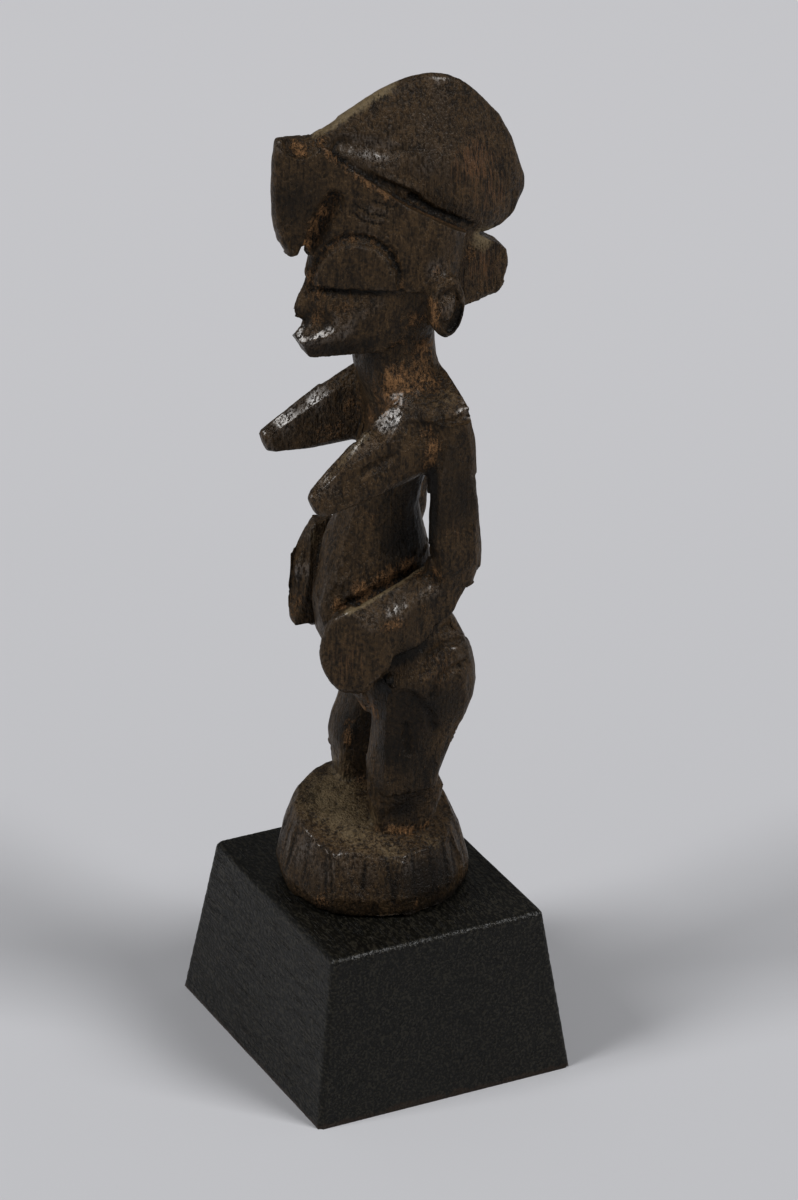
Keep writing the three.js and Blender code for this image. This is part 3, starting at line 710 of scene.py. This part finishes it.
# %% Handled places that shine
SHINE = [
    (0.8, -17.4, 126.4, 5, 1), (3.6, -16, 127, 6, 1), (6.4, -10.6, 129.6, 5, 0.9),
    (7.6, -7.6, 132.4, 5, 0.7), (4.4, -6.4, 165.4, 5, 1), (5.4, -2, 164, 5, 0.8),
    (13.2, 8.6, 134.6, 4, 1), (11, 7, 141, 4, 0.8), (10.4, 0, 113.4, 6, 1), (12, -3, 111.4, 7, 1),
    (13, -7, 108, 5, 0.8), (12, 3, 113.6, 4, 0.8), (13.4, -17.6, 99.4, 5, 0.9),
    (12.6, -10, 105.6, 6, 0.6), (-12, -17, 101.6, 6, 1), (-9.6, -9, 105, 6, 0.7),
    (14.4, -2, 70.6, 6, 0.8), (16.4, 5, 73.6, 5, 0.7), (13.6, -6.8, 67.2, 4, 1),
    (-8, -13.2, 69.6, 4, 1), (14, -10.4, 13.4, 5, 0.8), (6, -16.6, 13.6, 5, 0.8),
    (17.6, 1, 12, 4, 0.7), (2, -23.6, 168, 3, 1), (4.2, 12, 176, 8, 0.5),
    (15.6, 12.6, 111.6, 4, 0.8), (13.4, -4.2, 43, 6, 0.5), (13.4, -4, 34, 6, 0.5),
    (7.6, -4.6, 153.2, 5, 0.5), (17.6, 7, 58, 8, 0.4), (5, 2, 170, 13, 0.5), (6, 8, 164, 11, 0.4),
    (8.4, -4.3, 133.9, 4, 0.6), (4.4, 20, 138, 8, 0.3), (11.6, -11.4, 58, 9, 0.3),
]
SHINE += ring(18.6, 10, 7, 0.5, np.arange(0, 6.2, 0.35))
skin.paint("shine", dabbed(skin, SHINE))
skin.store()
for name, hollow in (("fine", fine), ("broad", broad)):
    print(name, "hollows in mm:", np.round(np.percentile(hollow, (1, 50, 99)), 3))

# %% [markdown]
# ## Grain that can be felt
#
# Age sinks the soft wood between the hard fibres, so that the grain stands up a little. A bump in
# the material would only shade it. Moving the skin shows in the outline too, and goes along when
# the model is exported. One tree of geometry nodes does it for both pieces: it lets the skin sink
# along a noise that is stretched along the grain. The size of the pattern, its depth and its seed
# are inputs, and each piece has its own.

# %% A tree that sinks the grain
SOFT_WOOD_FROM, SOFT_WOOD_TO = 0.42, 0.72


def raised_grain():
    """The tree, and the identifier of each of its inputs"""
    tree = bpy.data.node_groups.new("raised_grain", "GeometryNodeTree")
    sockets = {}
    named = (("Piece", "Geometry"), ("Depth", "Float"), ("Size", "Vector"), ("Seed", "Int"),
             ("Material", "Material"))
    for name, kind in named:
        socket_type = "NodeSocket" + kind
        sockets[name] = tree.interface.new_socket(name, in_out="INPUT", socket_type=socket_type)
    tree.interface.new_socket("Piece", in_out="OUTPUT", socket_type="NodeSocketGeometry")

    def add(kind, settings, inputs):
        made = tree.nodes.new(kind)
        for key, value in settings.items():
            setattr(made, key, value)
        for key, value in inputs.items():
            if isinstance(value, bpy.types.NodeSocket):
                tree.links.new(value, made.inputs[key])
            else:
                made.inputs[key].default_value = value
        return made.outputs[0] if made.outputs else None

    given = tree.nodes.new("NodeGroupInput").outputs
    place = add("GeometryNodeInputPosition", {}, {})
    spread = add("ShaderNodeVectorMath", {"operation": "DIVIDE"}, {0: place, 1: given["Size"]})
    noise = add("ShaderNodeTexNoise", {"noise_dimensions": "4D"},
                {"Vector": spread, "W": given["Seed"], "Scale": 1, "Detail": 3, "Roughness": 0.6})
    soft = add("ShaderNodeMapRange", {"interpolation_type": "SMOOTHSTEP"},
               {"Value": noise, "From Min": SOFT_WOOD_FROM, "From Max": SOFT_WOOD_TO})
    sunk = add("ShaderNodeMath", {"operation": "MULTIPLY"}, {0: soft, 1: given["Depth"]})
    inward = add("ShaderNodeMath", {"operation": "MULTIPLY"}, {0: sunk, 1: -1})
    normal = add("GeometryNodeInputNormal", {}, {})
    offset = add("ShaderNodeVectorMath", {"operation": "SCALE"}, {0: normal, "Scale": inward})
    moved = add("GeometryNodeSetPosition", {}, {"Geometry": given["Piece"], "Offset": offset})
    whole = add("GeometryNodeRealizeInstances", {}, {"Geometry": moved})
    dressed = add("GeometryNodeSetMaterial", {}, {"Geometry": whole, "Material": given["Material"]})
    add("NodeGroupOutput", {}, {"Piece": dressed})
    return tree, {name: socket.identifier for name, socket in sockets.items()}


GRAIN, GRAIN_INPUTS = raised_grain()
print("grain tree inputs:", GRAIN_INPUTS)


# %% Sinking the grain of a piece
def weathered(piece, layers, material, keep=1.0):
    """Sink a piece by layers of depth and size in mm, give it its material, thin its mesh"""
    for seed, (depth, size) in enumerate(layers):
        grain = piece.modifiers.new("grain", "NODES")
        grain.node_group = GRAIN
        grain[GRAIN_INPUTS["Depth"]] = depth / MM
        grain[GRAIN_INPUTS["Size"]] = [side / MM for side in size]
        grain[GRAIN_INPUTS["Seed"]] = seed
        grain[GRAIN_INPUTS["Material"]] = material
    if keep < 1:
        piece.modifiers.new("thin", "DECIMATE").ratio = keep
    mesh = applied(piece)
    mesh.name = piece.name
    mesh.polygons.foreach_set("use_smooth", [True] * len(mesh.polygons))
    count = sum(len(face.vertices) - 2 for face in mesh.polygons)
    print(piece.name, count, "triangles", [m.name for m in mesh.materials])


# %% [markdown]
# ## Materials written as sums
#
# Both woods need a finish with many layers, and a shader is a web of small nodes. It could be
# wired one link at a time, but it is easier to read as arithmetic. One small class wraps a
# socket, so that `1 - mask` or `grain * 0.4` adds the Math node it needs. One method makes every
# other node: it sets the node's own settings first and then fills its sockets.

# %% A socket that can be reckoned with
class Value:
    """A number that varies over a surface, as the output socket of a node"""

    def __init__(self, finish, socket):
        self.finish = finish
        self.socket = socket

    def sum_of(self, operation, first, second):
        settings = {"operation": operation}
        return self.finish.node("ShaderNodeMath", settings, {0: first, 1: second})

    def __add__(self, other):
        return self.sum_of("ADD", self, other)

    def __sub__(self, other):
        return self.sum_of("SUBTRACT", self, other)

    def __rsub__(self, other):
        return self.sum_of("SUBTRACT", other, self)

    def __mul__(self, other):
        return self.sum_of("MULTIPLY", self, other)

    __radd__ = __add__
    __rmul__ = __mul__


# %% A material that is built node by node
MIX_UNDER, MIX_OVER, MIX_RESULT = 6, 7, 2


class Finish:
    """A material, and the nodes that are added to it"""

    def __init__(self, name):
        self.material = bpy.data.materials.new(name)
        self.material.use_nodes = True
        self.tree = self.material.node_tree
        self.tree.nodes.clear()

    def node(self, kind, settings, inputs, output=0):
        """A node of any kind; an input is a number or colour, or a Value to link"""
        made = self.tree.nodes.new(kind)
        for key, value in settings.items():
            setattr(made, key, value)
        for key, value in inputs.items():
            if isinstance(value, Value):
                self.tree.links.new(value.socket, made.inputs[key])
            else:
                made.inputs[key].default_value = value
        return Value(self, made.outputs[output]) if made.outputs else None

    def place(self, stretch=(1, 1, 1)):
        """A point on the piece in millimetres, shortened along the axis that a pattern follows"""
        metres = self.node("ShaderNodeTexCoord", {}, {}, "Object")
        scale = [MM / length for length in stretch]
        return self.node("ShaderNodeVectorMath", {"operation": "MULTIPLY"}, {0: metres, 1: scale})

    def mottle(self, size, stretch=(1, 1, 1), detail=3, rough=0.5):
        """Soft random patches of a given size in millimetres, around a half"""
        return self.node("ShaderNodeTexNoise", {}, {
            "Vector": self.place(stretch), "Scale": 1 / size, "Detail": detail, "Roughness": rough})

    def between(self, value, low, high):
        """0 under low, 1 over high, and smooth on the way"""
        return self.node("ShaderNodeMapRange", {"interpolation_type": "SMOOTHSTEP"},
                         {"Value": value, "From Min": low, "From Max": high})

    def blend(self, share, first, second):
        """The first colour where share is 0, the second where it is 1"""
        under, over = (v if isinstance(v, Value) else (*v, 1) for v in (first, second))
        inputs = {0: share, MIX_UNDER: under, MIX_OVER: over}
        return self.node("ShaderNodeMix", {"data_type": "RGBA"}, inputs, MIX_RESULT)

    def painted(self, name):
        """A mask that the mesh carries, one number at each point"""
        return self.node("ShaderNodeAttribute", {"attribute_name": name}, {}, "Fac")

    def relief(self, height, distance, under=None):
        """A bumped normal; distance is how deep a height of 1 is, in millimetres"""
        inputs = {"Height": height, "Distance": distance / MM, "Strength": 1}
        if under:
            inputs["Normal"] = under
        return self.node("ShaderNodeBump", {}, inputs)

    def surface(self, inputs):
        """The finished material, with its looks on one Principled shader"""
        shader = self.node("ShaderNodeBsdfPrincipled", {}, inputs)
        self.node("ShaderNodeOutputMaterial", {}, {"Surface": shader})
        print(self.material.name, "has", len(self.tree.nodes), "nodes")
        return self.material


# %% [markdown]
# ## The dark patina
#
# The wood is nearly black with oil, smoke and handling. Where the coat is thin the brown timber
# shows in fine streaks that run up the figure. Soot fills the hollows, with painted shade over it,
# ochre dust lies over that, and a paler dust settles on what faces up, with painted light on some
# tops and ridges. One noise for all of it would look like stone, so we lay the coats one over the
# other, in the order in which they came. Handled places have a hard shine, broken up by the grain.

# %% Colours of the old wood
DARK_TIMBER, BROWN_TIMBER = (0.0155, 0.0098, 0.005), (0.092, 0.057, 0.027)
BARE_STREAK = (0.15, 0.078, 0.037)
# The near black is soot, and also painted shade in the hollows and shadowed places
SMOKE, BLACK_SOOT_AND_SHADE = (0.012, 0.008, 0.0045), (0.004, 0.003, 0.002)
# The pale khaki is dust, and also painted light on tops and ridges
OCHRE_DUST, SETTLED_DUST_AND_LIGHT = (0.26, 0.145, 0.066), (0.21, 0.162, 0.095)
print("brown timber is", round(BROWN_TIMBER[0] / DARK_TIMBER[0], 1), "times as bright as dark")


# %% Carved wood
def carved_wood():
    """Timber, sooty hollows with painted shade, dust with painted light, polish, read from the
    masks
    """
    finish = Finish("oiled_dark_wood")
    granules = finish.mottle(0.65, (1, 1, 1.3), detail=2, rough=0.7)
    fibres = finish.mottle(0.42, (1, 1, 12), detail=3, rough=0.6)
    strokes = finish.mottle(1.3, (1, 1, 7), detail=4, rough=0.6)
    stains = finish.mottle(2, (1, 1, 2.2), detail=5, rough=0.7)
    patches = finish.mottle(8, (1, 1, 2), detail=4, rough=0.55)
    recess, edge, ochre, pale, bare, shine = (
        finish.painted(name) for name in ("recess", "edge", "ochre", "pale", "bare", "shine"))

    timber = 0.4 * stains + 0.3 * patches + 0.3 * strokes
    brown = finish.between(timber + 0.55 * (granules - 0.5) + 0.3 * (fibres - 0.5), 0.34, 0.66)
    colour = finish.blend(brown, DARK_TIMBER, BROWN_TIMBER)
    streaks = finish.between(fibres + 0.25 * bare, 0.62, 0.84) * bare
    colour = finish.blend(0.8 * streaks, colour, BARE_STREAK)
    # Soot, and painted shade: hollows and shadowed places of the mask go near black
    soot_and_shade_share = finish.between(recess + 1.0 * (stains - 0.5) + 0.5 * (patches - 0.5), 0.2, 0.9)
    smoked = finish.between(patches + 0.5 * (strokes - 0.5), 0.5, 0.62)
    colour = finish.blend(0.4 * smoked, colour, SMOKE)
    colour = finish.blend(0.88 * soot_and_shade_share, colour, BLACK_SOOT_AND_SHADE)
    grit = 2 * (stains - 0.5) + 1.4 * (granules - 0.5) + 1.2 * (fibres - 0.5)
    dusty = finish.between(ochre + grit, 0.35, 1.15)
    colour = finish.blend(0.9 * dusty, colour, OCHRE_DUST)
    # Pale dust, partly painted light on tops and ridges
    dust_and_light = finish.between(pale + 0.6 * grit, 0.25, 1)
    colour = finish.blend(0.8 * dust_and_light, colour, SETTLED_DUST_AND_LIGHT)

    handled = shine + 0.4 * edge + 1.6 * (patches - 0.5) - 0.6 * recess
    polish = finish.between(handled, 0.15, 0.9)
    broken = finish.between(0.7 * granules + 0.3 * fibres, 0.42, 0.57)
    bumps = finish.relief(strokes, 0.36, finish.relief(fibres, 0.15, finish.relief(granules, 0.5)))
    bumps = finish.relief(stains * dusty, 0.5, bumps)
    return finish.surface({
        "Base Color": colour, "Normal": bumps,
        "Roughness": 0.38 + 0.35 * dusty - 0.14 * polish, "Specular IOR Level": 0.24,
        "Coat Weight": polish * broken * (1 - 0.8 * dusty), "Coat Roughness": 0.27,
        "Coat IOR": 1.65})


# %% Finish the figure
FIGURE_GRAIN = [(0.12, (2.4, 2.4, 5)), (0.05, (0.5, 0.5, 5))]
FACES_KEPT = 0.495
weathered(figure_piece, FIGURE_GRAIN, carved_wood(), keep=FACES_KEPT)
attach(figure_piece, "root")
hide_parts("figure")

# %% [markdown]
# ## The black stand
#
# The stand is an open-grained wood, stained black and waxed. Its grain runs across the figure,
# from side to side, so the long pores lie along the top and the front, and the two side faces
# show the ends of the pores as specks. The stain has worn thin on the edges, and a painted
# highlight lightens them as well. The solid already has the shape. We remesh it all the same,
# because only a skin of small faces can have sunken grain and slightly rounded edges.

# %% Black stained wood
BLACK_STAIN, THIN_STAIN = (0.003, 0.0028, 0.002), (0.009, 0.0083, 0.006)
FILLED_PORE, PORE_END = (0.06, 0.05, 0.04), (0.028, 0.025, 0.018)
# The rubbed edge colour is worn stain and also a painted highlight
RUBBED_EDGE_AND_HIGHLIGHT, BROWN_FOOT = (0.12, 0.105, 0.085), (0.04, 0.022, 0.012)


def ebonised_wood():
    """Stain, pores and worn edges with a painted highlight; the grain runs along X"""
    finish = Finish("ebonised_wood")
    pores = finish.mottle(0.5, (14, 1, 1), detail=3, rough=0.7)
    bands = finish.mottle(3, (30, 1, 1), detail=3)
    ends = finish.mottle(0.55, (2, 1, 1), detail=1, rough=0.6)
    edge = finish.painted("edge")
    low = finish.painted("low")
    open_pore = finish.between(pores, 0.55, 0.66)
    filled = finish.between(pores + 0.4 * (bands - 0.5), 0.63, 0.74)
    colour = finish.blend(bands, BLACK_STAIN, THIN_STAIN)
    colour = finish.blend(0.35 * filled, colour, FILLED_PORE)
    colour = finish.blend(finish.between(ends, 0.48, 0.64), colour, PORE_END)
    # Edges lightened: worn stain, and a painted highlight along them
    worn = finish.between(edge + 2 * (ends - 0.5) + 1.5 * (bands - 0.5), 0.7, 1.5)
    colour = finish.blend(0.4 * worn, colour, RUBBED_EDGE_AND_HIGHLIGHT)
    foot = finish.between(low + 2 * (bands - 0.5), 0.4, 0.9)
    colour = finish.blend(0.5 * foot, colour, BROWN_FOOT)
    rough = 0.34 + 0.2 * open_pore + 0.15 * (bands - 0.5)
    bumps = finish.relief(1 - open_pore, 0.14, finish.relief(ends, 0.22))
    return finish.surface({
        "Base Color": colour, "Roughness": rough, "Specular IOR Level": 0.33, "Normal": bumps})


# %% Finish the stand
STAND_STEP = 0.45
STAND_GRAIN = [(0.08, (8, 0.7, 0.7))]
plinth_piece = remeshed("plinth", "black_stand", STAND_STEP)
stand = Skin(plinth_piece.data)
# The edge mask marks wear, and where a highlight is painted
stand.paint("edge", smoothstep(-hollowness(stand, 5), 0.03, 0.16))
stand.paint("low", 1 - smoothstep(stand.points[:, 2] + STAND[2], 0.3, 2.2))
weathered(plinth_piece, STAND_GRAIN, ebonised_wood())
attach(plinth_piece, "root")
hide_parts("plinth")

# %% [markdown]
# ## Floor and light
#
# A pale grey floor and two large soft lights, one on each side of the camera, as on a copy stand.
# An even sky would light it more simply, but black wood shows its shape only by what it mirrors,
# so it needs lights with edges, and a room that is a good deal darker than they are.

# %% The floor
AWAY_FROM_CAMERA = (-0.885, 0.466, 0)
# The far grey is lighter as painted light
NEAR_GREY, FAR_GREY_PAINTED_LIGHTER = (0.585, 0.587, 0.606), (0.675, 0.674, 0.695)


def studio_floor():
    """Pale paper, with painted light that makes it a little lighter towards the back"""
    finish = Finish("pale_paper")
    away = finish.node("ShaderNodeVectorMath", {"operation": "DOT_PRODUCT"},
                       {0: finish.place(), 1: AWAY_FROM_CAMERA}, 1)
    # Painted light: the paper grows lighter away from the camera, with a broad mottle
    painted_light_share = finish.between(away + 100 * (finish.mottle(300, detail=2) - 0.5), -150, 650)
    colour = finish.blend(painted_light_share, NEAR_GREY, FAR_GREY_PAINTED_LIGHTER)
    return finish.surface({"Base Color": colour, "Roughness": 0.9, "Specular IOR Level": 0.2})


FLOOR_HALF = 8
floor_mesh = bpy.data.meshes.new("floor")
signs = ((-1, -1), (1, -1), (1, 1), (-1, 1))
floor_corners = [(FLOOR_HALF * x, FLOOR_HALF * y, 0) for x, y in signs]
floor_mesh.from_pydata(floor_corners, [], [(0, 1, 2, 3)])
floor_mesh.materials.append(studio_floor())
floor = bpy.data.objects.new("floor", floor_mesh)
bpy.context.scene.collection.objects.link(floor)
floor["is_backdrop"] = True

# %% Two soft lights
LIGHT_HEIGHT, LIGHT_DISTANCE, LIGHT_SIZE, LIGHT_POWER = 42, 6, 2.4, 231
LIT_POINT = Vector((0, 0, 0.1))


def softbox(name, azimuth):
    """A square light that looks at the figure; azimuth is counted as the camera's is"""
    turn, lift = math.radians(azimuth), math.radians(LIGHT_HEIGHT)
    flat = math.cos(lift)
    way = Vector((math.sin(turn) * flat, -math.cos(turn) * flat, math.sin(lift)))
    lamp = bpy.data.lights.new(name, "AREA")
    lamp.shape = "SQUARE"
    lamp.size = LIGHT_SIZE
    lamp.energy = LIGHT_POWER
    light = bpy.data.objects.new(name, lamp)
    light.location = LIT_POINT + way * LIGHT_DISTANCE
    light.rotation_euler = way.to_track_quat("Z", "Y").to_euler()
    bpy.context.scene.collection.objects.link(light)


softbox("light_from_the_right", 128)
softbox("light_from_the_left", -2)
print("lights of", LIGHT_POWER, "W,", LIGHT_DISTANCE, "m away")

# %% The room, and how the picture is toned
ROOM_COLOUR, ROOM_STRENGTH = (0.54, 0.545, 0.555, 1), 0.31
PRINT_GAMMA = 0.84

world = bpy.data.worlds.new("room")
world.use_nodes = True
background = world.node_tree.nodes["Background"]
background.inputs["Color"].default_value = ROOM_COLOUR
background.inputs["Strength"].default_value = ROOM_STRENGTH
bpy.context.scene.world = world
bpy.context.scene.view_settings.view_transform = "Standard"
bpy.context.scene.view_settings.gamma = PRINT_GAMMA
print("room strength", ROOM_STRENGTH, "gamma", PRINT_GAMMA)

# %% [markdown]
# ## Measure and close
#
# The dressed figure has to stay the size of its solid, so both boxes are written side by side.

# %% Close
NEW_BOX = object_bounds()
for name, box in (("solid", CAD_BOX), ("dressed", NEW_BOX)):
    print(name, "box in mm", [[round(MM * v, 2) for v in corner] for corner in box])
